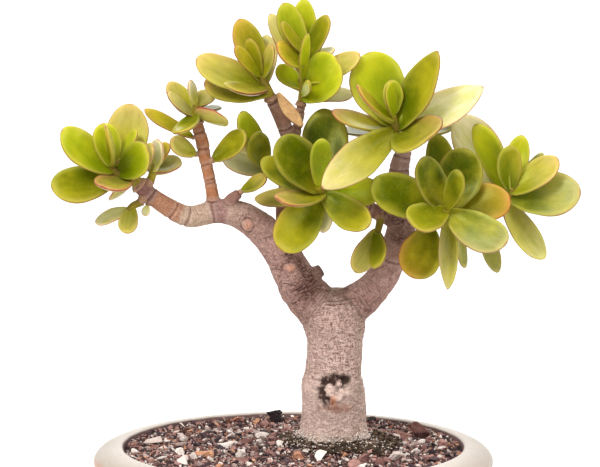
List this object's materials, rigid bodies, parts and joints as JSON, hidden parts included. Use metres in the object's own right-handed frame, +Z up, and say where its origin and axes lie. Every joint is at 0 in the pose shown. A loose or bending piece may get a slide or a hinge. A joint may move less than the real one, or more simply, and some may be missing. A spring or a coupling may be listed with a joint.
{
  "type": "jade bonsai in a round pot",
  "caption": "Jade plant grown as a bonsai: a stout forked trunk with rosettes of thick oval leaves, in gritty soil in a round shallow clay pot.",
  "frame": {"origin": "middle of the bounding box seen from above, at the height of the pot's foot", "axes": "+Z up along the trunk, +X to the right as the plant is seen from its front, +Y away from that viewer"},
  "size_m": [0.3006, 0.232, 0.3219],
  "materials": {
    "clay": "satin buff glaze",
    "soil": "loose grit of pumice, lava and baked clay",
    "screen": "black plastic mesh",
    "bark": "smooth grey-brown bark with rings and scars",
    "leaf": "waxy, fleshy green leaf with a reddish edge",
    "dry_leaf": "dry, shrivelled leaf"
  },
  "bodies": {
    "root": {"pot": "clay", "soil": "soil", "drain_screen": "screen", "trunk_and_branches": "bark", "shoot_far_left": "leaf", "shoot_low_left": "leaf", "shoot_left_side": "leaf", "shoot_upright": "leaf", "shoot_top_left": "leaf", "shoot_top_side": "leaf", "shoot_top_centre": "leaf", "shoot_top_right": "leaf", "shoot_centre": "leaf", "shoot_hanging": "leaf", "shoot_right": "leaf", "shoot_far_right": "leaf", "upright_leaf_left": "leaf", "upright_leaf_right": "leaf", "upright_leaf_back": "leaf", "stub_leaf": "leaf", "tiny_leaf": "leaf", "right_low_leaf": "leaf", "right_under_leaf": "leaf", "right_back_leaf": "leaf", "dry_leaf": "dry_leaf"}
  },
  "joints": []
}
